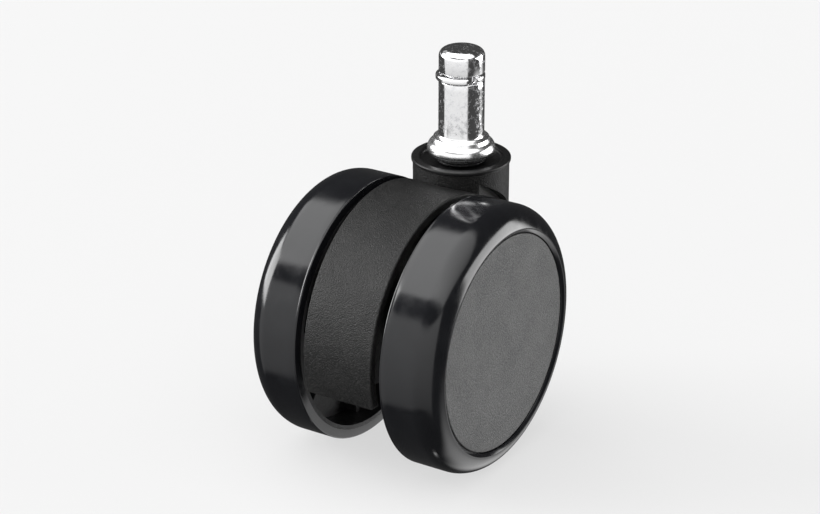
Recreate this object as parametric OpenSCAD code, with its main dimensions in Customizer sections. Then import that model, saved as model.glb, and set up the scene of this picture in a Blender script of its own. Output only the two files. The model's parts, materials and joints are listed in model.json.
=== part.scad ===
// Twin-wheel swivel caster for an office chair. A steel stem with a grip ring turns in a
// hooded plastic housing, and two soft-tread wheels turn on one axle through that housing.
// Origin: centre of the rim on top of the stem's collar, where the chair's socket rests.
// +Z runs up the stem, +X runs along the axle, and the hood faces -Y.

/* [Stem] */
// Diameter of the stem's shank
stem_d = 11; // [10.9:0.05:11.1]
// Height of the stem above the collar's rim
stem_len = 22; // [21:0.5:24]
// Largest diameter of the collar
collar_d = 16.3; // [16:0.1:17]
// Diameter of the spigot that turns in the housing
spigot_d = 9; // [8.6:0.1:9.4]

/* [Wheels] */
// Diameter over the tread
wheel_d = 65; // [64:0.5:67]
// Width of one wheel, from its inner face to the outside of its tyre
wheel_w = 14.65; // [14.4:0.05:15.2]
// Distance between the two wheels' inner faces
wheel_gap = 23; // [22.6:0.2:25]
// Radius of the tyre's rounded outer shoulder
shoulder_r = 5.94; // [5.6:0.02:6.2]
// Thickness of the soft tread over the rim
tyre_t = 2.3; // [1.8:0.1:2.4]
// Number of stiffening ribs inside each rim
rib_count = 8; // [6:1:12]

/* [Housing] */
// Distance from the stem's axis back to the axle's, along -Y
axle_offset = 21.5; // [20:0.5:23]
// Height of the collar's rim above the axle
axle_drop = 39.8; // [39:0.2:42]
// Diameter of the barrel around the stem
barrel_d = 23.2; // [22.8:0.05:23.4]
// Width of the hood between the wheels
hood_w = 18.6; // [17.6:0.2:19]
// Wall thickness of the hood
hood_t = 2.3; // [2:0.1:3]

/* [Axle] */
// Diameter of the axle
axle_d = 6; // [5.6:0.1:6.4]
// Radial running clearance of every turning fit
running_gap = 0.05; // [0.03:0.01:0.08]

/* [Hidden] */
$fn = 96;
BIG = 200;              // reach of the cutting blocks
STEEL = "#c9cbce";
DARK_STEEL = "#8d9095";
HOUSING_BLACK = "#2b2c2e";
TYRE_BLACK = "#1b1c1f";
CORE_BLACK = "#333437";
CAP_GREY = "#4a4b4e";
BEARING_WHITE = "#d9d6cc";

// Stem
stem_r = stem_d / 2;
head_round = 1.9;       // rounding of the stem's top edge
seat_fillet = 1;        // concave fillet between the shank and the collar
rim_w = 0.2;            // flat seat round that fillet
seat_r = stem_r + seat_fillet + rim_w;  // neck of the collar, above its bead
collar_r = collar_d / 2;
collar_h = 4.45;        // height of the collar
bead_r = 1.55;          // round bead at the collar's foot
bead_z = bead_r - collar_h;
grip_groove_top = stem_len - 5.58;
grip_groove_h = 2.1;
grip_groove_r = 4.5;    // radius at the bottom of the grip ring's groove
spigot_r = spigot_d / 2;
spigot_end = -26;       // lowest point of the domed end
spigot_chamfer = 0.8;
spigot_dome = 0.2;      // height of the flat dome under the spigot
clip_groove_z = -22.1;  // upper face of the retaining ring
clip_t = 1.1;
clip_groove_r = spigot_r - 0.8;
clip_slack = 0.1;       // gap all round a ring in its groove

// Grip ring, drawn as it lies when free: a little off centre in its groove
ring_r = 5.9;
ring_h = 1.5;
ring_t = 1;
ring_round = 0.45;
ring_lift = 0.1;        // height of the ring above the bottom of its groove
ring_shift = 0.33;
ring_bearing = 212.6;   // direction in which the ring has shifted, from +X about +Z
ring_split = 332.4;     // bearing of the ring's gap
ring_split_w = 2.2;

// Washers and clips on the stem
thrust_r = 6;
thrust_h = 1.5;
thrust_round = 0.25;
retaining_r = 5.9;
retaining_split_w = 4.6;

// Swivel bush with the lip that closes the top of the barrel
lip_overhang = 0.37;    // how far the lip stands out beyond the barrel
lip_r = barrel_d / 2 + lip_overhang;
lip_top = -5;
lip_bottom = -5.95;
lip_round = 0.3;
lip_inner_r = 10;       // edge of the recess in the lip
recess_floor = -6.35;
bush_seat_r = 10.4;     // counterbore in the barrel that takes the bush's flange
bush_seat_z = -7.3;
bush_r = 7;
bush_end = -21.6;

// Housing
barrel_r = barrel_d / 2;
barrel_bottom = -31;
barrel_chamfer = 1.5;
chamber_r = 6.6;        // room for the retaining ring under the bush
pad_t = 1.4;            // hardened pad under the stem's domed end
pad_gap = 0.1;
pad_slack = 0.1;        // gap round the pad in its chamber
pad_top = spigot_end - pad_gap;
chamber_floor = pad_top - pad_t;
hood_inset = 0.1;       // how far the hood lies inside the tread's circle
hood_r = wheel_d / 2 - hood_inset;
hood_half = hood_w / 2;
hood_edge_round = 0.45;
hood_corner = 1;        // rounding of the hood's two lower corners
hood_margin = 0.05;     // widening of the outline that cuts the hood's corners
hood_start = 48;        // where the hood runs into the barrel, from +Y about the axle
hood_end = 200;
hood_bottom = -48.45;
relief_r = wheel_d / 2 + 2.1;   // scoop that clears the wheels out of the barrel
web_half = 2.4;
web_bury = 3;           // how deep the web runs into the barrel
web_drop = 2;           // how far below the axle the web's edge reaches at the boss
boss_r = 7;

// Axle and what is on it
axle_r = axle_d / 2;
wheel_x = wheel_gap / 2;                // inner face of a wheel
wheel_out = wheel_x + wheel_w;          // outer face of its tyre
axle_half = 23.9;
axle_chamfer = 0.5;
clip_x = 22.35;                         // inner face of the clip
clip_w = 0.9;
clip_side_slack = 0.05;                 // gap on each side of the clip in its groove
clip_r = 5;
clip_eye_r = 0.7;
clip_eye_at = 3.6;                      // distance of the clip's two eyes from its centre
clip_eye_bearing = 110;
clip_bite = 0.4;                        // how much narrower the clip's mouth is than the groove
axle_groove_r = 2.35;
spacer_r = 6;
spacer_w = 1.2;
washer_w = 0.5;
washer_gap = 0.1;                       // side play between the washer and the clip
washer_r = 5.2;

// Rim
core_r = wheel_d / 2 - tyre_t;          // outside of the rim, under the tyre
core_wall = 1.05;
shoulder_x = wheel_out - shoulder_r;    // where the tread turns into the shoulder
face_r = wheel_d / 2 - shoulder_r;      // centre of the shoulder's rounding, and the tyre's bore
hub_r = 7.4;
hub_step = 0.3;                         // how far the bush's flange lies inside the inner face
hub_in = wheel_x + hub_step;
hub_out = 21.2;
bush_wall = 1.5;
bush_flange_r = 5.8;
bush_flange_w = 0.8;
web_in = 19.3;
web_out = 21.3;
rib_t = 1.4;
rib_in = 16;
rib_bury = 1;                           // how deep a rib runs into the hub
rib_bury_rim = 0.4;                     // and into the rim's wall
rib_bury_web = 0.5;                     // and into the web
tread_round = 0.35;

// Cap
cap_inset = 0.65;                       // how far the cap lies inside the tyre's face
cap_gap = 0.25;                         // groove round the cap
dish_w = 0.85;                          // width of the bevel from the tyre's bore to its lip
cap_r = face_r - cap_gap;
cap_out = wheel_out - cap_inset;
cap_t = 1.3;
cap_skirt_t = 1;
pocket_r = face_r - 1;                  // pocket in the rim that holds the cap's skirt
cap_edge = 0.3;

// Rectangle between two corners
module block(x0, y0, x1, y1) {
    translate([x0, y0]) square([x1 - x0, y1 - y0]);
}

// Rectangle between two corners, with all four corners rounded
module round_block(x0, y0, x1, y1, r) {
    block(x0 + r, y0, x1 - r, y1);
    block(x0, y0 + r, x1, y1 - r);
    for (x = [x0 + r, x1 - r], y = [y0 + r, y1 - r]) translate([x, y]) circle(r);
}

// Ring between two radii, from height z0 up to z1
module ring(inner, outer, z0, z1) {
    translate([0, 0, z0]) difference() {
        cylinder(r = outer, h = z1 - z0);
        translate([0, 0, -1]) cylinder(r = inner, h = z1 - z0 + 2);
    }
}

// Carries a shape drawn about +Z onto the axle, with its +Z along +X (side 1) or -X (side -1)
module on_axle(side = 1) {
    translate([0, -axle_offset, -axle_drop]) rotate([0, 90 * side, 0]) children();
}

// Turned shape on the axle: the profile's x is the radius and its y the distance from centre
module turned(side) {
    on_axle(side) rotate_extrude() children();
}

// ---- Stem ----

module stem_profile() {
    difference() {
        union() {
            block(0, -1, stem_r - head_round, stem_len);
            block(0, -1, stem_r, stem_len - head_round);
            translate([stem_r - head_round, stem_len - head_round]) circle(head_round);
            block(0, -1, stem_r + seat_fillet, seat_fillet);
            block(0, bead_z, seat_r, 0);
            block(0, -collar_h, collar_r - bead_r, bead_z + bead_r);
            translate([collar_r - bead_r, bead_z]) circle(bead_r);
            block(0, spigot_end + spigot_chamfer, spigot_r, 0);
            polygon([
                [0, spigot_end], [spigot_r - 2 * spigot_chamfer, spigot_end + spigot_dome],
                [spigot_r, spigot_end + spigot_chamfer], [0, spigot_end + spigot_chamfer]
            ]);
        }
        translate([stem_r + seat_fillet, seat_fillet]) circle(seat_fillet);
        block(grip_groove_r, grip_groove_top - grip_groove_h, BIG, grip_groove_top);
        block(
            clip_groove_r, clip_groove_z - clip_t - clip_slack,
            spigot_r + 1, clip_groove_z + clip_slack
        );
    }
}

module stem() {
    color(STEEL) rotate_extrude() intersection() {
        stem_profile();
        block(0, -BIG, BIG, BIG);
    }
}

module grip_ring() {
    mid = grip_groove_top - grip_groove_h + ring_lift + ring_h / 2;
    inner = ring_r - ring_t;
    color(DARK_STEEL)
    translate([ring_shift * cos(ring_bearing), ring_shift * sin(ring_bearing), mid])
    difference() {
        rotate_extrude() round_block(inner, -ring_h / 2, ring_r, ring_h / 2, ring_round);
        rotate(ring_split) translate([0, -ring_split_w / 2, -ring_h])
            cube([2 * ring_r, ring_split_w, 2 * ring_h]);
    }
}

module thrust_washer() {
    color(CORE_BLACK) rotate_extrude()
        round_block(
            spigot_r + running_gap, -collar_h - thrust_h, thrust_r, -collar_h, thrust_round
        );
}

module retaining_ring() {
    inner = clip_groove_r + clip_slack;
    color(DARK_STEEL) difference() {
        ring(inner, retaining_r, clip_groove_z - clip_t, clip_groove_z);
        translate([0, -retaining_split_w / 2, clip_groove_z - 2 * clip_t])
            cube([2 * retaining_r, retaining_split_w, 3 * clip_t]);
    }
}

// ---- Housing ----

// Upright barrel round the stem, scooped out where the wheels pass it
module barrel() {
    difference() {
        union() {
            translate([0, 0, barrel_bottom + barrel_chamfer])
                cylinder(r = barrel_r, h = lip_bottom - barrel_bottom - barrel_chamfer);
            translate([0, 0, barrel_bottom])
                cylinder(r1 = barrel_r - barrel_chamfer, r2 = barrel_r, h = barrel_chamfer);
        }
        for (side = [1, -1])
            on_axle(side) translate([0, 0, hood_half]) cylinder(r = relief_r, h = BIG);
    }
}

// Curved shell between the wheels, with rounded long edges and rounded lower corners
module hood() {
    intersection() {
        translate([0, -axle_offset, -axle_drop]) rotate([90, 0, 90])
            rotate([0, 0, hood_start]) rotate_extrude(angle = hood_end - hood_start)
            round_block(hood_r - hood_t, -hood_half, hood_r, hood_half, hood_edge_round);
        rotate([90, 0, 0]) linear_extrude(BIG) hood_front();
    }
}

// Outline of the hood from the front, a hair wider than the hood itself
module hood_front() {
    half = hood_half + hood_margin;
    round_block(-half, hood_bottom, half, BIG, hood_corner);
}

// Plate in the middle that ties the hood, the barrel and the axle's boss together
module web() {
    rotate([90, 0, 90]) translate([0, 0, -web_half]) linear_extrude(2 * web_half)
        intersection() {
            translate([-axle_offset, -axle_drop]) circle(hood_r - hood_t / 2);
            polygon([
                [-BIG, hood_bottom], [-axle_offset, hood_bottom],
                [-axle_offset + boss_r, -axle_drop - web_drop],
                [barrel_r - web_bury, barrel_bottom], [barrel_r - web_bury, 0], [-BIG, 0]
            ]);
        }
}

// Barrel, hood, web and the axle's boss, moulded in one piece
module housing() {
    color(HOUSING_BLACK) difference() {
        union() {
            barrel();
            hood();
            web();
            on_axle() translate([0, 0, -hood_half]) cylinder(r = boss_r, h = hood_w);
        }
        translate([0, 0, bush_seat_z]) cylinder(r = bush_seat_r, h = BIG);
        translate([0, 0, bush_end]) cylinder(r = bush_r, h = BIG);
        translate([0, 0, chamber_floor]) cylinder(r = chamber_r, h = BIG);
        on_axle() translate([0, 0, -BIG / 2]) cylinder(r = axle_r, h = BIG);
    }
}

module swivel_bush() {
    color(HOUSING_BLACK) rotate_extrude() difference() {
        union() {
            round_block(lip_inner_r - 2, lip_bottom, lip_r, lip_top, lip_round);
            block(spigot_r, bush_seat_z, bush_seat_r, lip_top);
            block(spigot_r, bush_end, bush_r, bush_seat_z);
        }
        block(0, recess_floor, lip_inner_r, 0);
        block(0, bush_end - 1, spigot_r + running_gap, 0);
    }
}

module thrust_pad() {
    color(DARK_STEEL) translate([0, 0, chamber_floor]) cylinder(r = chamber_r - pad_slack, h = pad_t);
}

// ---- Axle ----

module axle() {
    groove_half = clip_w / 2 + clip_side_slack;
    color(STEEL) on_axle() rotate_extrude() difference() {
        union() {
            block(0, -axle_half + axle_chamfer, axle_r, axle_half - axle_chamfer);
            block(0, -axle_half, axle_r - axle_chamfer, axle_half);
        }
        for (side = [1, -1])
            translate([0, side * (clip_x + clip_w / 2)])
            block(axle_groove_r, -groove_half, BIG, groove_half);
    }
}

module spacer(side) {
    color(BEARING_WHITE) turned(side)
        block(axle_r + running_gap, hood_half, spacer_r, hood_half + spacer_w);
}

module outer_washer(side) {
    out = clip_x - washer_gap;
    color(STEEL) turned(side) block(axle_r + running_gap, out - washer_w, washer_r, out);
}

// E-shaped clip in the axle's groove
module axle_clip(side) {
    mouth = 2 * axle_groove_r - clip_bite;
    color(DARK_STEEL) on_axle(side) difference() {
        ring(axle_groove_r, clip_r, clip_x, clip_x + clip_w);
        translate([0, -mouth / 2, clip_x - 1]) cube([2 * clip_r, mouth, clip_w + 2]);
        for (a = [clip_eye_bearing, -clip_eye_bearing])
            rotate(a) translate([clip_eye_at, 0, clip_x - 1])
            cylinder(r = clip_eye_r, h = clip_w + 2);
    }
}

// ---- Wheel ----

// Section of a whole wheel: tread, rounded shoulder and face, with `in` taken off all round
module wheel_body(in) {
    r = shoulder_r - in;
    block(0, wheel_x, wheel_d / 2 - in, shoulder_x);
    block(0, wheel_x, face_r, shoulder_x + r);
    translate([face_r, shoulder_x]) circle(r);
}

module tyre(side) {
    color(TYRE_BLACK) turned(side) difference() {
        intersection() {
            wheel_body(0);
            union() {
                block(0, wheel_x + tread_round, BIG, BIG);
                block(0, wheel_x, wheel_d / 2 - tread_round, BIG);
                translate([wheel_d / 2 - tread_round, wheel_x + tread_round])
                    circle(tread_round);
            }
        }
        intersection() {
            wheel_body(tyre_t);
            block(0, 0, BIG, BIG);
        }
        block(0, 0, face_r, BIG);
        block(0, 0, BIG, wheel_x);
        polygon([
            [0, cap_out], [face_r, cap_out], [face_r + dish_w, wheel_out],
            [face_r + dish_w, BIG], [0, BIG]
        ]);
    }
}

module rim(side) {
    inner = core_r - core_wall;
    color(CORE_BLACK) {
        turned(side) difference() {
            intersection() {
                wheel_body(tyre_t);
                block(0, wheel_x, BIG, BIG);
            }
            block(hub_r, 0, inner, web_in);
            block(0, 0, axle_r + bush_wall, BIG);
            block(0, 0, bush_flange_r, hub_in + bush_flange_w);
            block(0, web_out, pocket_r, BIG);
        }
        for (i = [0:rib_count - 1])
            on_axle(side) rotate(360 * i / rib_count)
                translate([hub_r - rib_bury, -rib_t / 2, rib_in])
                cube([
                    inner - hub_r + rib_bury + rib_bury_rim, rib_t, web_in - rib_in + rib_bury_web
                ]);
    }
}

module cap(side) {
    color(CAP_GREY) turned(side) {
        block(0, cap_out - cap_t, cap_r, cap_out - cap_edge);
        block(0, cap_out - cap_t, cap_r - cap_edge, cap_out);
        translate([cap_r - cap_edge, cap_out - cap_edge]) intersection() {
            circle(cap_edge);
            square(cap_edge);
        }
        block(pocket_r - cap_skirt_t, web_out, pocket_r, cap_out - cap_t);
    }
}

module hub_bush(side) {
    bore = axle_r + running_gap;
    color(BEARING_WHITE) turned(side) {
        block(bore, hub_in, axle_r + bush_wall, hub_out);
        block(bore, hub_in, bush_flange_r, hub_in + bush_flange_w);
    }
}

stem();
grip_ring();
thrust_washer();
retaining_ring();
housing();
swivel_bush();
thrust_pad();
axle();
tyre(-1);  // tyre_left
rim(-1);  // rim_left
cap(-1);  // cap_left
hub_bush(-1);  // hub_bush_left
spacer(-1);  // spacer_left
outer_washer(-1);  // outer_washer_left
axle_clip(-1);  // axle_clip_left
tyre(1);  // tyre_right
rim(1);  // rim_right
cap(1);  // cap_right
hub_bush(1);  // hub_bush_right
spacer(1);  // spacer_right
outer_washer(1);  // outer_washer_right
axle_clip(1);  // axle_clip_right
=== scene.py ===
"""Twin-wheel office chair caster: the looks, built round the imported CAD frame."""

import json
import math

import bmesh
import bpy
from mathutils import Matrix, Vector


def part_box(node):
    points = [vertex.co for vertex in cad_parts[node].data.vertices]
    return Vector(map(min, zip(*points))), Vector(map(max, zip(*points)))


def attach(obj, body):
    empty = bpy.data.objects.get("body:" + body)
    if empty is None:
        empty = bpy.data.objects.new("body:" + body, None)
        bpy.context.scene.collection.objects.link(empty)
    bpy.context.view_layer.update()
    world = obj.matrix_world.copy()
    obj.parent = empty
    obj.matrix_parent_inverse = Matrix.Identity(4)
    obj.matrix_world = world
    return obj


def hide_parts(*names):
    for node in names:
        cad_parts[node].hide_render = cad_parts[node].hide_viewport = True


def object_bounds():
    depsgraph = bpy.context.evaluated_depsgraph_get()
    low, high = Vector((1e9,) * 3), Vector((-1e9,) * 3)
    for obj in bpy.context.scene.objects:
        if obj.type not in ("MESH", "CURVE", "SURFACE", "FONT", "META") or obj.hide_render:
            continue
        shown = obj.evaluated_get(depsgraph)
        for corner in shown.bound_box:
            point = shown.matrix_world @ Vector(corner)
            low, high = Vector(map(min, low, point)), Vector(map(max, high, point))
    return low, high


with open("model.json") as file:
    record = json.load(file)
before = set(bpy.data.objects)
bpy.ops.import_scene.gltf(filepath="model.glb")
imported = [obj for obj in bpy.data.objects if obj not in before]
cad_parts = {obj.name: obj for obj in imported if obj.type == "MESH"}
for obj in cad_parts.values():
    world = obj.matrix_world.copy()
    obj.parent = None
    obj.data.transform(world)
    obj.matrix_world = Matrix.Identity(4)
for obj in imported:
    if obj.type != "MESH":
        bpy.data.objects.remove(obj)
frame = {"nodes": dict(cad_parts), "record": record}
cad_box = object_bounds()
nodes = frame["nodes"]

MM = 0.001
SIDES = {"left": -1, "right": 1}
WHITE = (1, 1, 1, 1)
WELD = 1e-5                         # millimetres between points that are the same point
CAD_WELD = 1e-3                     # the same, for a mesh that comes from the CAD
FLAT_ENOUGH = 0.1                   # degrees between faces that count as one flat face
HARD_EDGE = 30                      # degrees from which an edge of the CAD gets rounded
FLAT_WEIGHT = 90                    # how strongly large faces keep their own shading


# ---------------------------------------------------------------- sizes, in millimetres
def corners(node):
    """Lowest and highest corner of a CAD node, in millimetres."""
    low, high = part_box(node)
    return low / MM, high / MM


stem_low, stem_high = corners("stem")
tyre_low, tyre_high = corners("tyre_right")
cap_low, cap_high = corners("cap_right")
bush_low, bush_high = corners("swivel_bush")
washer_low, washer_high = corners("thrust_washer")
grip_low, grip_high = corners("grip_ring")

shank_r = frame["record"]["mounts"][0]["dims"]["r_mm"]
collar_r = stem_high.x
stem_top = stem_high.z
wheel_r = (tyre_high.z - tyre_low.z) / 2
axle_y = (tyre_high.y + tyre_low.y) / 2
axle_z = (tyre_high.z + tyre_low.z) / 2
wheel_in = tyre_low.x
wheel_out = tyre_high.x
cap_r = (cap_high.z - cap_low.z) / 2
cap_out = cap_high.x
cap_gap = 0.25                      # groove between the cap and the tyre
face_r = cap_r + cap_gap            # the tyre's bore
dish_w = 0.85                       # width of the bevel from the bore to the tyre's lip
shoulder_r = wheel_r - face_r
shoulder_x = wheel_out - math.sqrt(shoulder_r**2 - dish_w**2)
tyre_t = 2.3                        # thickness of the soft tread
spigot_r = 4.5                      # the stem below its collar
running_r = 4.55                    # bore of the washer and the bush on that spigot


# ---------------------------------------------------------------- mesh helpers
def arc(cx, cy, radius, start, end, steps=6):
    """Points on an arc about (cx, cy), between two angles in degrees."""
    turns = [math.radians(start + (end - start) * i / steps) for i in range(steps + 1)]
    return [(cx + radius * math.cos(a), cy + radius * math.sin(a)) for a in turns]


def on_axle(side):
    """Place of a shape drawn about +Z, with its +Z pointing out along one end of the axle."""
    return Matrix.Translation((0, axle_y, axle_z)) @ Matrix.Rotation(side * math.pi / 2, 4, "Y")


def lathe(outline, place=Matrix.Identity(4), steps=192):
    """Turns a closed outline of (radius, height) points about +Z, and moves it to its place."""
    shape = bmesh.new()
    rings = []
    for i in range(steps):
        turn = math.tau * i / steps
        rings.append([
            shape.verts.new((r * math.cos(turn), r * math.sin(turn), h)) for r, h in outline
        ])
    for i in range(steps):
        here, after = rings[i], rings[(i + 1) % steps]
        for j in range(len(outline)):
            k = (j + 1) % len(outline)
            shape.faces.new((here[j], after[j], after[k], here[k]))
    bmesh.ops.remove_doubles(shape, verts=shape.verts, dist=WELD)
    bmesh.ops.recalc_face_normals(shape, faces=shape.faces)
    shape.transform(place)
    return shape


def piece(name, shape, body, slot, *replaced, sharp=32):
    """Makes an object of a shape in millimetres, and lets it ride on its body.

    Edges of more than `sharp` degrees stay sharp and the rest are shaded smooth. The object
    stands for the CAD nodes in `replaced`, which aren't shown.
    """
    shape.transform(Matrix.Scale(MM, 4))
    mesh = bpy.data.meshes.new(name)
    shape.to_mesh(mesh)
    shape.free()
    mesh.shade_smooth()
    mesh.set_sharp_from_angle(angle=math.radians(sharp))
    thing = bpy.data.objects.new(name, mesh)
    bpy.context.scene.collection.objects.link(thing)
    mesh.materials.append(looks[slot])
    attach(thing, body)
    if replaced:
        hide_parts(*replaced)
    return thing


def softened(node, width, body, slot):
    """Copy of a CAD node whose hard edges are rounded, as a mould leaves them."""
    shape = bmesh.new()
    shape.from_mesh(nodes[node].data)
    shape.transform(Matrix.Scale(1 / MM, 4))
    bmesh.ops.remove_doubles(shape, verts=shape.verts, dist=CAD_WELD)
    bmesh.ops.dissolve_limit(
        shape, angle_limit=math.radians(FLAT_ENOUGH), verts=shape.verts, edges=shape.edges
    )
    bmesh.ops.recalc_face_normals(shape, faces=shape.faces)
    thing = piece(f"{node}_moulded", shape, body, slot, node, sharp=180)
    rounding = thing.modifiers.new("rounding", "BEVEL")
    rounding.width = width * MM
    rounding.segments = 2
    rounding.limit_method = "ANGLE"
    rounding.angle_limit = math.radians(HARD_EDGE)
    smoothing = thing.modifiers.new("smoothing", "WEIGHTED_NORMAL")
    smoothing.mode = "FACE_AREA_WITH_ANGLE"
    smoothing.weight = FLAT_WEIGHT
    return thing


# ---------------------------------------------------------------- shader nodes
class Wiring:
    """Short ways to add nodes to a tree and to link them."""

    def __init__(self, tree):
        self.tree = tree

    def node(self, kind, **settings):
        made = self.tree.nodes.new(kind)
        for key, value in settings.items():
            setattr(made, key, value)
        return made

    def feed(self, socket, value):
        """Links a socket or sets a plain value."""
        if isinstance(value, bpy.types.NodeSocket):
            self.tree.links.new(value, socket)
        else:
            socket.default_value = value

    def maths(self, operation, *values):
        """Result of a sum with sockets and plain numbers."""
        made = self.node("ShaderNodeMath", operation=operation)
        for socket, value in zip(made.inputs, values):
            self.feed(socket, value)
        return made.outputs[0]

    def ramp(self, value, from_low, from_high, to_low=0, to_high=1):
        """Moves a value smoothly from one range to another."""
        made = self.node("ShaderNodeMapRange", interpolation_type="SMOOTHSTEP")
        self.feed(made.inputs["Value"], value)
        ends = {"From Min": from_low, "From Max": from_high, "To Min": to_low, "To Max": to_high}
        for key, number in ends.items():
            made.inputs[key].default_value = number
        return made.outputs["Result"]


# ---------------------------------------------------------------- materials
class Surface(Wiring):
    """A Principled material with procedural detail. Sizes are in millimetres."""

    def __init__(self, name, colour, roughness, metallic=0.0, **fixed):
        self.material = bpy.data.materials.new(name)
        self.material.use_nodes = True
        super().__init__(self.material.node_tree)
        self.shader = self.tree.nodes["Principled BSDF"]
        self.shader.inputs["Base Color"].default_value = (*colour, 1)
        self.shader.inputs["Roughness"].default_value = roughness
        self.shader.inputs["Metallic"].default_value = metallic
        for key, value in fixed.items():
            self.shader.inputs[key.replace("_", " ")].default_value = value
        self.place = self.node("ShaderNodeTexCoord").outputs["Object"]

    def noise(self, size, detail=2.0, roughness=0.5, stretch=None):
        """Cloudy pattern from 0 to 1 whose blotches are about `size` across."""
        made = self.node("ShaderNodeTexNoise")
        made.inputs["Scale"].default_value = 1 / (size * MM)
        made.inputs["Detail"].default_value = detail
        made.inputs["Roughness"].default_value = roughness
        place = self.place
        if stretch:
            mapping = self.node("ShaderNodeMapping")
            mapping.inputs["Scale"].default_value = stretch
            self.feed(mapping.inputs["Vector"], place)
            place = mapping.outputs["Vector"]
        self.feed(made.inputs["Vector"], place)
        return made.outputs["Fac"]

    def specks(self, spacing, radius, share):
        """1 inside small dots about `spacing` apart, 0 elsewhere; only a share of the dots show."""
        core = 0.45                 # share of a dot's radius that is at full strength
        blur = 0.02
        cells = self.node("ShaderNodeTexVoronoi")
        cells.inputs["Scale"].default_value = 1 / (spacing * MM)
        self.feed(cells.inputs["Vector"], self.place)
        dot = self.ramp(cells.outputs["Distance"], radius / spacing, core * radius / spacing)
        split = self.node("ShaderNodeSeparateColor")
        self.feed(split.inputs["Color"], cells.outputs["Color"])
        chosen = self.ramp(split.outputs["Red"], 1 - share, 1 - share + blur)
        return self.maths("MULTIPLY", dot, chosen)

    def mix(self, share, start, end):
        """Colour that goes from start to end as share goes from 0 to 1."""
        colour_inputs, colour_output = (6, 7), 2
        made = self.node("ShaderNodeMix", data_type="RGBA")
        self.feed(made.inputs["Factor"], share)
        for socket, colour in zip(colour_inputs, (start, end)):
            linked = isinstance(colour, bpy.types.NodeSocket)
            self.feed(made.inputs[socket], colour if linked else (*colour, 1))
        return made.outputs[colour_output]

    def colour(self, socket):
        self.feed(self.shader.inputs["Base Color"], socket)

    def roughness(self, socket):
        self.feed(self.shader.inputs["Roughness"], socket)

    def relief(self, *layers):
        """Bumps, each a height socket and its depth in mm."""
        normal = None
        for height, depth in layers:
            made = self.node("ShaderNodeBump")
            made.inputs["Distance"].default_value = depth * MM
            self.feed(made.inputs["Height"], height)
            if normal:
                self.feed(made.inputs["Normal"], normal)
            normal = made.outputs["Normal"]
        self.feed(self.shader.inputs["Normal"], normal)


def plated_steel():
    """Bright plate: cloudy dull patches on the shank, a smooth collar, slow waves from polishing."""
    look = Surface("plated_steel", (0.9, 0.9, 0.91), 0.1, metallic=1)
    split = look.node("ShaderNodeSeparateXYZ")
    look.feed(split.inputs[0], look.place)
    shank = look.ramp(split.outputs["Z"], 0.5 * MM, 3 * MM, 0.12, 1)
    cloud = look.noise(1.1, detail=4, roughness=0.66)
    pits = look.maths("MULTIPLY", look.ramp(cloud, 0.47, 0.64), shank)
    haze = look.noise(2.5, detail=4)
    bright = look.mix(haze, (0.82, 0.82, 0.83), (0.9, 0.9, 0.9))
    look.colour(look.mix(look.maths("MULTIPLY", pits, 0.3), bright, (0.62, 0.63, 0.66)))
    collar = look.ramp(split.outputs["Z"], 0.2 * MM, 1.5 * MM, 0.14, 0)
    dull = look.maths("ADD", look.maths("MULTIPLY", pits, 0.22), collar)
    look.roughness(look.maths("ADD", look.ramp(haze, 0.3, 0.7, 0.09, 0.13), dull))
    look.relief((look.noise(3, detail=1), 0.008))
    return look.material


def spring_steel():
    """Plated spring wire, a little duller than the stem."""
    look = Surface("spring_steel", (0.88, 0.88, 0.89), 0.16, metallic=1)
    haze = look.noise(0.6, detail=3)
    look.colour(look.mix(haze, (0.8, 0.8, 0.81), (0.93, 0.93, 0.93)))
    look.roughness(look.ramp(haze, 0.3, 0.7, 0.12, 0.26))
    look.relief((look.noise(0.5, detail=2), 0.006))
    return look.material


def axle_steel():
    """Ground steel, with fine rings round the axle."""
    look = Surface("axle_steel", (0.62, 0.63, 0.65), 0.25, metallic=1)
    rings = look.noise(0.12, detail=2, stretch=(1, 0.05, 0.05))
    look.colour(look.mix(look.noise(1.5, detail=3), (0.55, 0.56, 0.58), (0.7, 0.71, 0.73)))
    look.roughness(look.ramp(rings, 0.3, 0.7, 0.2, 0.34))
    look.relief((rings, 0.003))
    return look.material


def moulded(name, dark, light, roughness, grain, dust, depth, shine=0.5):
    """Moulded plastic: spark-textured grain, a slow drift of shade, and a few dust specks.

    `grain` and `depth` are the size and the depth of the texture in millimetres, `dust` is the
    share of specks that show, and `shine` is the strength of the reflection.
    """
    dust_colour = (0.16, 0.16, 0.155)
    fine_share = 0.75               # of the shade; the slow drift has the rest
    look = Surface(name, dark, roughness, IOR=1.44, Specular_IOR_Level=shine)
    fine = look.noise(grain, detail=1)
    slow = look.noise(9, detail=2)
    drift = look.maths("MULTIPLY", slow, 1 - fine_share)
    shade = look.maths("ADD", look.maths("MULTIPLY", fine, fine_share), drift)
    body = look.mix(look.ramp(shade, 0.4, 0.68), dark, light)
    look.colour(look.mix(look.specks(spacing=2.2, radius=0.11, share=dust), body, dust_colour))
    look.roughness(look.ramp(fine, 0.35, 0.65, roughness - 0.05, roughness + 0.08))
    look.relief((slow, 0.03), (fine, depth))
    return look.material


def housing_nylon():
    """Black nylon with a coarse, matt grain."""
    return moulded(
        "housing_nylon", dark=(0.001, 0.001, 0.0011), light=(0.017, 0.017, 0.0165),
        roughness=0.46, grain=0.3, dust=0.25, depth=0.2, shine=0.27,
    )


def bush_nylon():
    """Black nylon, smoother than the housing."""
    return moulded(
        "bush_nylon", dark=(0.003, 0.003, 0.0032), light=(0.007, 0.007, 0.007),
        roughness=0.38, grain=0.45, dust=0.2, depth=0.06, shine=0.36,
    )


def washer_nylon():
    """Black nylon, nearly smooth."""
    return moulded(
        "washer_nylon", dark=(0.006, 0.006, 0.0065), light=(0.011, 0.011, 0.0115),
        roughness=0.3, grain=0.7, dust=0.1, depth=0.01,
    )


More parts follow.
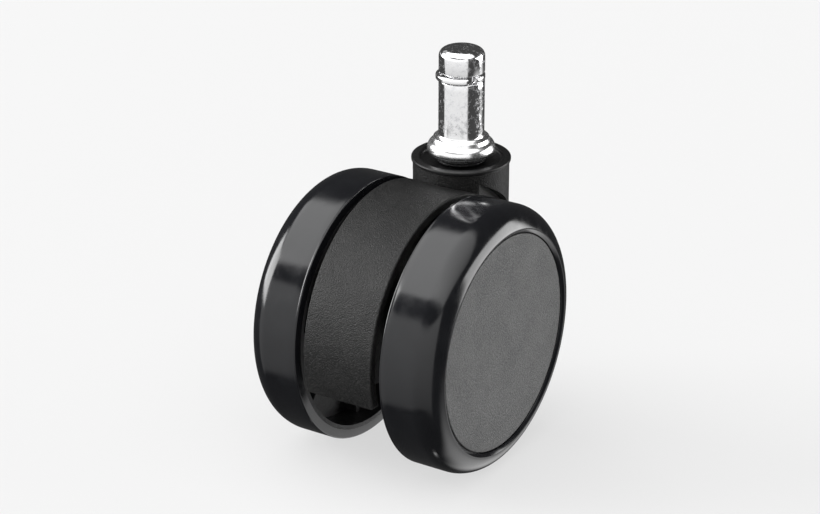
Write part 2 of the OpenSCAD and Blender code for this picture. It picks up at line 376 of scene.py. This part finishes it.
def rim_nylon():
    """Black nylon of the wheels' centres."""
    return moulded(
        "rim_nylon", dark=(0.008, 0.008, 0.0085), light=(0.016, 0.016, 0.016),
        roughness=0.5, grain=0.8, dust=0.3, depth=0.03, shine=0.35,
    )


def bearing_acetal():
    """Natural white acetal, faintly mottled."""
    look = Surface("bearing_acetal", (0.75, 0.73, 0.67), 0.35, Subsurface_Weight=0.15)
    cloud = look.noise(1.6, detail=3)
    look.colour(look.mix(cloud, (0.7, 0.68, 0.61), (0.8, 0.78, 0.73)))
    look.roughness(look.ramp(cloud, 0.3, 0.7, 0.3, 0.42))
    look.relief((look.noise(0.4, detail=2), 0.004))
    return look.material


def tread_polyurethane():
    """Glossy near-black polyurethane, with the faint waves of its mould and a little dust."""
    look = Surface("tread_polyurethane", (0.005, 0.0052, 0.006), 0.14, IOR=1.44)
    smear = look.noise(5, detail=4, roughness=0.6)
    body = look.mix(smear, (0.004, 0.0042, 0.005), (0.0075, 0.0078, 0.009))
    look.colour(look.mix(look.specks(spacing=3.4, radius=0.08, share=0.25), body, (0.05, 0.05, 0.05)))
    look.roughness(look.ramp(smear, 0.3, 0.7, 0.1, 0.19))
    look.relief((look.noise(7, detail=1), 0.02), (look.noise(0.6, detail=2), 0.0015))
    return look.material


def cap_nylon():
    """Charcoal plastic with a dense speckled grain."""
    look = Surface("cap_nylon", (0.062, 0.062, 0.063), 0.5)
    fine = look.noise(0.36, detail=2, roughness=0.7)
    slow = look.noise(8, detail=3)
    body = look.mix(look.ramp(fine, 0.36, 0.64), (0.016, 0.0165, 0.017), (0.07, 0.07, 0.0695))
    look.colour(look.mix(look.specks(spacing=4.5, radius=0.14, share=0.4), body, (0.16, 0.16, 0.16)))
    look.roughness(look.ramp(slow, 0.3, 0.7, 0.46, 0.56))
    look.relief((fine, 0.13))
    return look.material


looks = {
    make.__name__: make()
    for make in (
        plated_steel, spring_steel, axle_steel, housing_nylon, bush_nylon, washer_nylon,
        bearing_acetal, tread_polyurethane, rim_nylon, cap_nylon,
    )
}
slot_of = {part["node"]: part["material_slot"] for part in frame["record"]["subparts"]}
for name, thing in nodes.items():
    thing.data.materials.clear()
    thing.data.materials.append(looks[slot_of[name]])


# ---------------------------------------------------------------- wheels
def tyre(side_name):
    """Soft tyre: flat tread, full outer shoulder, and a lip that stands round the cap."""
    edge = 0.35                     # rounding of the tread's inner edge
    line = ((0.07, 0.15), (0.05, 0.4))      # depths and distances of the fine line beside it
    crest = math.degrees(math.acos(dish_w / shoulder_r))
    crest_cut = 2                   # degrees of the shoulder that the blunt crest takes
    crest_in, crest_down = 0.08, 0.03       # from the sharp crest to the blunt one's inner end
    bore_out, bore_up, bore_down = 0.07, 0.06, 0.03     # small bevel at the bore, by the cap's face
    root = wheel_r - tyre_t
    outline = [(root, wheel_in)]
    outline += arc(wheel_r - edge, wheel_in + edge, edge, -90, 0)
    outline += [(wheel_r - depth, wheel_in + edge + along) for depth, along in line]
    outline += [(wheel_r, wheel_in + (shoulder_x - wheel_in) * i / 8) for i in range(1, 8)]
    outline += arc(face_r, shoulder_x, shoulder_r, 0, crest - crest_cut, 26)
    outline += [(face_r + dish_w - crest_in, wheel_out - crest_down)]
    outline += [(face_r + bore_out, cap_out + bore_up), (face_r, cap_out - bore_down)]
    outline += [(face_r, wheel_out - tyre_t)]
    outline += arc(face_r, shoulder_x, shoulder_r - tyre_t, 90, 0, 12)
    shape = lathe(outline, on_axle(SIDES[side_name]), steps=240)
    return piece(
        f"tyre_tread_{side_name}", shape, f"{side_name}_wheel", "tread_polyurethane", f"tyre_{side_name}"
    )


def cap(side_name):
    """Push-in cap: flat face with a rounded edge, and the skirt that grips the rim's pocket."""
    edge = 0.3                      # rounding of the face's rim
    thick = 1.3
    skirt_r = face_r - 1
    skirt_in = skirt_r - 1
    outline = [(0, cap_out)]
    outline += [(cap_r * i / 12, cap_out) for i in range(1, 12)]
    outline += arc(cap_r - edge, cap_out - edge, edge, 90, 0, 8)
    outline += [(cap_r, cap_out - thick), (skirt_r, cap_out - thick), (skirt_r, cap_low.x)]
    outline += [(skirt_in, cap_low.x), (skirt_in, cap_out - thick), (0, cap_out - thick)]
    shape = lathe(outline, on_axle(SIDES[side_name]))
    return piece(
        f"cap_disc_{side_name}", shape, f"{side_name}_wheel", "cap_nylon", f"cap_{side_name}"
    )


for side in SIDES:
    tyre(side)
    cap(side)


# ---------------------------------------------------------------- stem and what is on it
def stem():
    """Turned and plated stem: domed head, shank, grip groove, beaded collar, spigot and clip groove."""
    head = 1.9                      # rounding of the head
    dimple = ((0, 0.35), (0.9, 0.1), (1.3, 0))      # radii and depths of the centre mark on it
    fillet = 1.0                    # between the shank and the collar's seat
    seat_r, neck_r = shank_r + fillet + 0.2, shank_r + fillet + 0.5
    seat_edge = 0.12
    bead, collar_h = 1.55, 4.45     # rounding of the collar's rim, and the collar's height
    shoulder_h = 2.05               # from the bead's middle up to the neck, as a full quarter
    neck = math.degrees(math.acos((neck_r - collar_r + bead) / bead))
    groove_top, groove_bottom, groove_r = grip_high.z + 0.5, grip_low.z - 0.1, 4.5
    lip = 0.15                      # rounding of the groove's two edges
    spigot_edge = 0.3
    clip_top, clip_bottom, clip_r = -22.0, -23.3, spigot_r - 0.8
    end = stem_low.z
    end_r, end_side, end_rise = spigot_r - 1.6, 0.8, 0.2
    outline = [(r, stem_top - depth) for r, depth in dimple]
    outline += arc(shank_r - head, stem_top - head, head, 90, 0, 10)
    outline += arc(shank_r - lip, groove_top + lip, lip, 0, -90, 3)
    outline += [(groove_r, groove_top), (groove_r, groove_bottom)]
    outline += arc(shank_r - lip, groove_bottom - lip, lip, 90, 0, 3)
    outline += [(shank_r, groove_bottom - (groove_bottom - fillet) * i / 8) for i in range(1, 8)]
    outline += arc(shank_r + fillet, fillet, fillet, 180, 270, 8)
    outline += arc(seat_r - seat_edge, -seat_edge, seat_edge, 90, 10, 3)
    shoulder = arc(0, 0, 1, neck, 0, 14)
    outline += [(collar_r - bead + bead * x, bead - collar_h + shoulder_h * z) for x, z in shoulder]
    outline += arc(collar_r - bead, bead - collar_h, bead, 0, -90, 10)[1:]
    outline += [(spigot_r + spigot_edge, -collar_h), (spigot_r, -collar_h - spigot_edge)]
    outline += [(spigot_r, clip_top), (clip_r, clip_top)]
    outline += [(clip_r, clip_bottom), (spigot_r, clip_bottom)]
    outline += [(spigot_r, end + end_side), (end_r, end + end_rise), (0, end)]
    return piece("stem_turned", lathe(outline), "stem_unit", "plated_steel", "stem", sharp=40)


def grip_ring():
    """Split spring ring of rounded section, lying a little off centre in its groove."""
    ring_r, height, thick, rounding = 5.9, 1.5, 1.0, 0.45
    split, gap = math.radians(332.4), 2.2           # bearing and width of the split
    shift, shift_to = 0.33, math.radians(212.6)     # how far off centre, and its bearing
    end_pinch = (0.12, 0.03, 0)     # how much narrower the first sections from each end are
    steps = 150
    mid_r, mid_z = ring_r - thick / 2, grip_low.z + height / 2
    outer, inner = thick / 2 - rounding, rounding - thick / 2
    tall = height / 2 - rounding
    section = []                    # round the wire's middle, as distances outwards and upwards
    corner_places = ((outer, tall), (outer, -tall), (inner, -tall), (inner, tall))
    for (out, up), start in zip(corner_places, (90, 0, -90, -180)):
        section += arc(out, up, rounding, start, start - 90, 4)
    shape = bmesh.new()
    half = gap / 2 / ring_r
    rows = []
    for i in range(steps + 1):
        turn = split + half + (math.tau - 2 * half) * i / steps
        sections_in = min(i, steps - i, len(end_pinch) - 1)
        scale = 1 - end_pinch[sections_in]
        rows.append([
            shape.verts.new((
                (mid_r + out * scale) * math.cos(turn),
                (mid_r + out * scale) * math.sin(turn),
                mid_z + up * scale,
            ))
            for out, up in section
        ])
    for here, after in zip(rows, rows[1:]):
        for j in range(len(section)):
            k = (j + 1) % len(section)
            shape.faces.new((here[j], after[j], after[k], here[k]))
    shape.faces.new(rows[0])
    shape.faces.new(reversed(rows[-1]))
    bmesh.ops.remove_doubles(shape, verts=shape.verts, dist=WELD)
    bmesh.ops.recalc_face_normals(shape, faces=shape.faces)
    shape.transform(Matrix.Translation((shift * math.cos(shift_to), shift * math.sin(shift_to), 0)))
    return piece("grip_ring_spring", shape, "grip_ring_unit", "spring_steel", "grip_ring", sharp=40)


def thrust_washer():
    """Plastic washer under the collar, with two shallow grooves in its edge."""
    inner, outer = running_r, washer_high.x
    low, high = washer_low.z, washer_high.z
    edge = 0.25
    groove, groove_out = 0.16, 0.06         # radius of a groove, and how far out its middle lies
    mid, apart = (low + high) / 2, 0.3      # the grooves lie this far above and below the middle
    outline = [(inner, low), (outer - edge, low)]
    outline += arc(outer - edge, low + edge, edge, -90, 0, 4)[1:]
    for z in (mid - apart, mid + apart):
        outline += arc(outer + groove_out, z, groove, 250, 110, 4)
    outline += arc(outer - edge, high - edge, edge, 0, 90, 4)
    outline += [(inner, high)]
    return piece(
        "thrust_washer_ring", lathe(outline, steps=128), "stem_unit", "washer_nylon", "thrust_washer"
    )


def swivel_bush():
    """Flanged bush: its lip closes the barrel and holds a dished recess round the stem."""
    lip_r, lip_top = bush_high.x, bush_high.z
    lip_bottom = lip_top - 0.95
    edge = 0.3                      # rounding of the lip
    recess_r, recess_floor, bore = 10.0, lip_top - 1.35, running_r
    floor_round = 0.9               # between the recess's floor and its wall
    mouth_w, mouth_h = 0.25, 0.2    # bevel at the top of that wall
    bore_w, bore_h = 0.3, 0.1       # bevel round the bore
    seat_r, seat_z = 10.4, -7.3
    sleeve_r, sleeve_end, sleeve_edge = 7.0, bush_low.z, 0.4
    outline = [(bore, recess_floor + bore_h), (bore + bore_w, recess_floor)]
    outline += arc(recess_r - floor_round, recess_floor + floor_round, floor_round, -90, -10, 6)
    outline += [(recess_r, lip_top - mouth_h), (recess_r + mouth_w, lip_top)]
    outline += arc(lip_r - edge, lip_top - edge, edge, 90, 0, 4)
    outline += arc(lip_r - edge, lip_bottom + edge, edge, 0, -90, 4)
    outline += [(seat_r, lip_bottom), (seat_r, seat_z), (sleeve_r, seat_z)]
    outline += [(sleeve_r, sleeve_end + sleeve_edge), (sleeve_r - sleeve_edge, sleeve_end)]
    outline += [(bore, sleeve_end)]
    return piece(
        "swivel_bush_flange", lathe(outline), "swivel_housing", "bush_nylon", "swivel_bush"
    )


stem()
grip_ring()
thrust_washer()
swivel_bush()

# ---------------------------------------------------------------- housing and rims
softened("housing", width=0.16, body="swivel_housing", slot="housing_nylon")
for side in SIDES:
    softened(f"rim_{side}", width=0.12, body=f"{side}_wheel", slot="rim_nylon")

# ---------------------------------------------------------------- stage
FLOOR_REACH = 4.0                   # metres from the object to each edge
FLOOR_GLOW = 0.635                  # makes the table as bright as the photograph's background
floor_z = cad_box[0][2]
floor_mesh = bpy.data.meshes.new("floor")
floor_mesh.from_pydata(
    [(x * FLOOR_REACH, y * FLOOR_REACH, floor_z) for x, y in ((-1, -1), (1, -1), (1, 1), (-1, 1))],
    [], [(0, 1, 2, 3)],
)
floor = bpy.data.objects.new("floor", floor_mesh)
bpy.context.scene.collection.objects.link(floor)
floor_paint = Surface(
    "floor_paint", (0.12, 0.12, 0.12), 0.9, Emission_Color=WHITE, Emission_Strength=FLOOR_GLOW
)
floor_mesh.materials.append(floor_paint.material)
floor.visible_glossy = False


# ---------------------------------------------------------------- studio light
class Studio(Wiring):
    """World light made of soft-edged panels, each at a bearing and a height in degrees.

    A bearing is measured from +X towards +Y. The camera stands at a bearing of -59 degrees.
    """

    def __init__(self):
        world = bpy.data.worlds.new("studio")
        world.use_nodes = True
        bpy.context.scene.world = world
        super().__init__(world.node_tree)
        self.background = self.tree.nodes["Background"]
        self.background.inputs["Color"].default_value = WHITE
        place = self.node("ShaderNodeTexCoord").outputs["Generated"]
        split = self.node("ShaderNodeSeparateXYZ")
        self.tree.links.new(place, split.inputs[0])
        self.x, self.y, self.z = split.outputs
        self.bearing = self.maths("DEGREES", self.maths("ARCTAN2", self.y, self.x))
        self.height = self.maths("DEGREES", self.maths("ARCSINE", self.z))
        self.total = None

    def inside(self, value, low, high, soft):
        """1 between low and high, 0 outside, over edges `soft` wide."""
        rise = self.ramp(value, low - soft / 2, low + soft / 2)
        fall = self.ramp(value, high + soft / 2, high - soft / 2)
        return self.maths("MULTIPLY", rise, fall)

    def add(self, light):
        self.total = light if self.total is None else self.maths("ADD", self.total, light)

    def panel(self, bearings, heights, radiance, soft=6, slant=0.0, lift=0.0):
        """Soft panel between two bearings and two heights.

        `slant` moves its left edge by so many degrees per degree of height, and `lift` brightens
        it by that share per degree of height.
        """
        left, right = bearings
        start = self.maths("MULTIPLY_ADD", self.height, -slant, self.bearing)
        rise = self.ramp(start, left - soft / 2, left + soft / 2)
        fall = self.ramp(self.bearing, right + soft / 2, right - soft / 2)
        up = self.inside(self.height, *heights, soft)
        strength = self.maths("MULTIPLY_ADD", self.height, lift * radiance, radiance)
        shape = self.maths("MULTIPLY", self.maths("MULTIPLY", rise, fall), up)
        self.add(self.maths("MULTIPLY", shape, strength))

    def ceiling(self, xs, ys, radiance, soft=0.15):
        """Overhead panel that fades towards +X and +Y.

        Its sides lie at these distances from the point straight above, if it hangs 1 high.
        """
        lowest = 0.05               # keeps the divisions away from the horizon
        middle, slope, least = 0.78 * radiance, -0.3 * radiance, 0.25 * radiance
        above = self.maths("MAXIMUM", self.z, lowest)
        across = self.maths("DIVIDE", self.x, above)
        along = self.maths("DIVIDE", self.y, above)
        shape = self.maths(
            "MULTIPLY", self.inside(across, *xs, soft), self.inside(along, *ys, soft)
        )
        fade = self.maths("MULTIPLY_ADD", self.maths("ADD", across, along), slope, middle)
        fade = self.maths("MINIMUM", self.maths("MAXIMUM", fade, least), radiance)
        self.add(self.maths("MULTIPLY", shape, fade))

    def finish(self, ambient, seen):
        """Lights the scene, and shows the camera a plain background of brightness `seen`."""
        light = self.maths("ADD", self.total, ambient)
        self.tree.links.new(light, self.background.inputs["Strength"])
        backdrop = self.node("ShaderNodeBackground")
        backdrop.inputs["Color"].default_value = WHITE
        backdrop.inputs["Strength"].default_value = seen
        chooser = self.node("ShaderNodeMixShader")
        path = self.node("ShaderNodeLightPath")
        self.tree.links.new(path.outputs["Is Camera Ray"], chooser.inputs["Fac"])
        self.tree.links.new(self.background.outputs[0], chooser.inputs[1])
        self.tree.links.new(backdrop.outputs[0], chooser.inputs[2])
        self.tree.links.new(chooser.outputs[0], self.tree.nodes["World Output"].inputs["Surface"])


studio = Studio()
studio.ceiling(xs=(-1.05, 1.5), ys=(-0.95, 0.42), radiance=3.8)
# bright panels left and right of the camera, and the dimmer room round it
studio.panel(bearings=(-176, -138), heights=(3, 38), radiance=11)
studio.panel(bearings=(25, 62), heights=(-16, 17), radiance=7.1, slant=-0.72)
studio.panel(bearings=(-153, -28), heights=(-42, 25), radiance=1.15, soft=5, lift=0.0126)
# glow from below, behind the object on its right
studio.panel(bearings=(15, 95), heights=(-68, -34), radiance=1.9, soft=30)
studio.panel(bearings=(47, 68), heights=(-33, -20), radiance=0.7, soft=8)
studio.finish(ambient=0.06, seen=0.93)

# ---------------------------------------------------------------- camera
AZIMUTH = math.radians(32.57)       # of the view, from -Y towards +X
ELEVATION = math.radians(23.48)
CAMERA_PLACE = (287.29, -472.47, 208.48)        # millimetres
LENS, SENSOR = 108.54, 36
NEAREST, FARTHEST = 0.01, 20        # metres that the camera sees
towards = Vector((
    math.sin(AZIMUTH) * math.cos(ELEVATION),
    -math.cos(AZIMUTH) * math.cos(ELEVATION),
    math.sin(ELEVATION),
))
camera = bpy.data.objects.new("camera", bpy.data.cameras.new("camera"))
camera.data.lens = LENS
camera.data.sensor_width = SENSOR
camera.data.clip_start = NEAREST
camera.data.clip_end = FARTHEST
camera.location = Vector(CAMERA_PLACE) * MM
camera.rotation_euler = towards.to_track_quat("Z", "Y").to_euler()
bpy.context.scene.collection.objects.link(camera)
bpy.context.scene.camera = camera
bpy.context.scene.view_settings.view_transform = "Standard"
